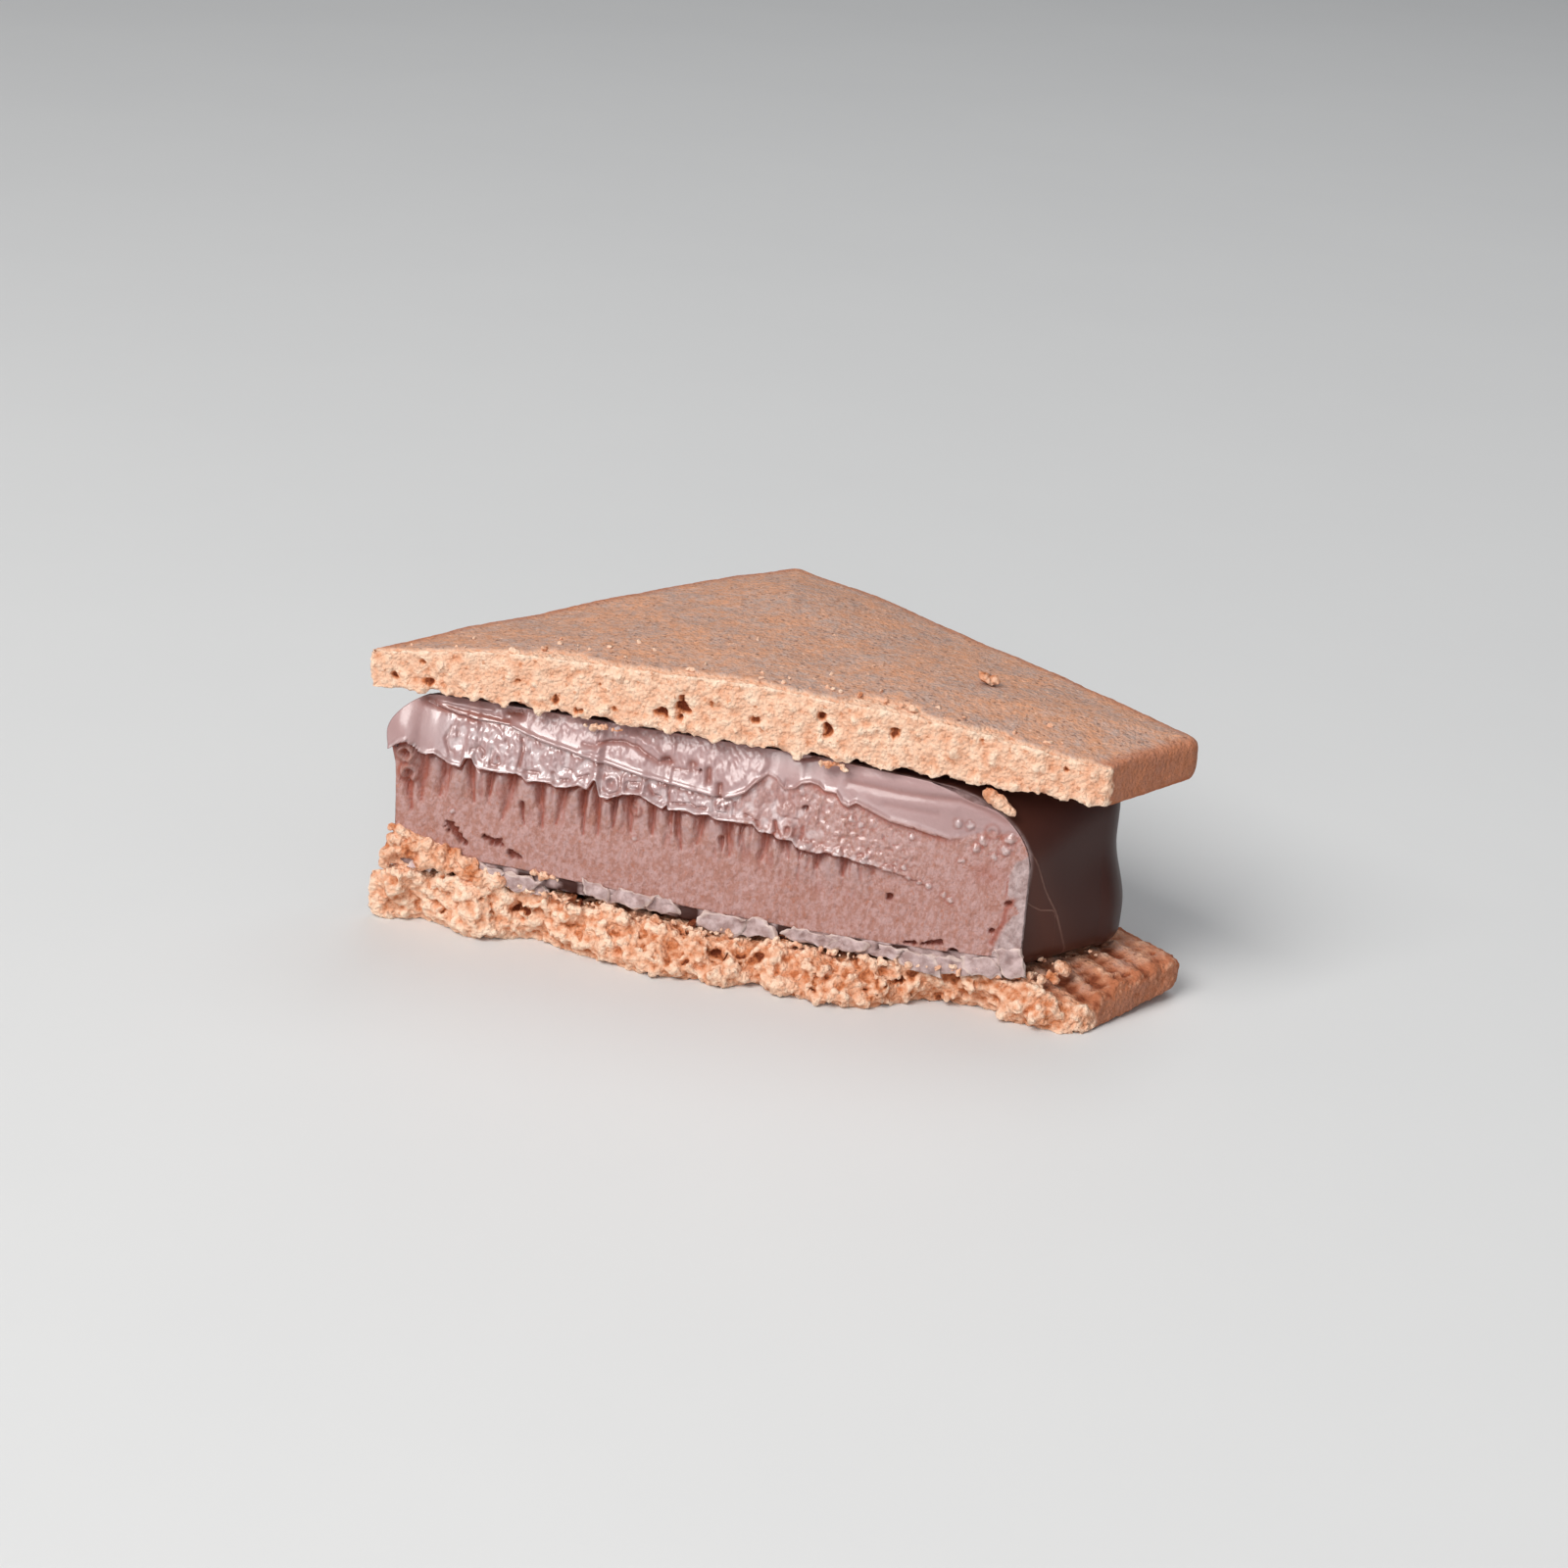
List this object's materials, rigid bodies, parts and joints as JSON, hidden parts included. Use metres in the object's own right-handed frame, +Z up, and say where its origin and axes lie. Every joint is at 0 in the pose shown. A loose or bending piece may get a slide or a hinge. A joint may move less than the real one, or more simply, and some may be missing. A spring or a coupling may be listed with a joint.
{
  "type": "chocolate sandwich cookie",
  "caption": "Slant-cut square sandwich cookie: two cocoa biscuits with a thick chocolate-dipped ganache slab between, cut face showing the layers.",
  "frame": {"origin": "middle of the bounding box in plan, on the surface that the bottom biscuit rests on", "axes": "+X along the cut from the sharp corner to the blunt one, +Y from the cut to the back, +Z up"},
  "size_m": [0.0734, 0.0442, 0.0279],
  "materials": {
    "biscuit": "dry, crumbly baked cocoa biscuit",
    "ganache": "soft ganache, matt where torn and satin where the knife smeared it",
    "chocolate_coat": "satin dark chocolate coat"
  },
  "bodies": {
    "root": {"biscuit_bottom": "biscuit", "ganache": "ganache", "coating": "chocolate_coat", "biscuit_top": "biscuit"}
  },
  "joints": []
}
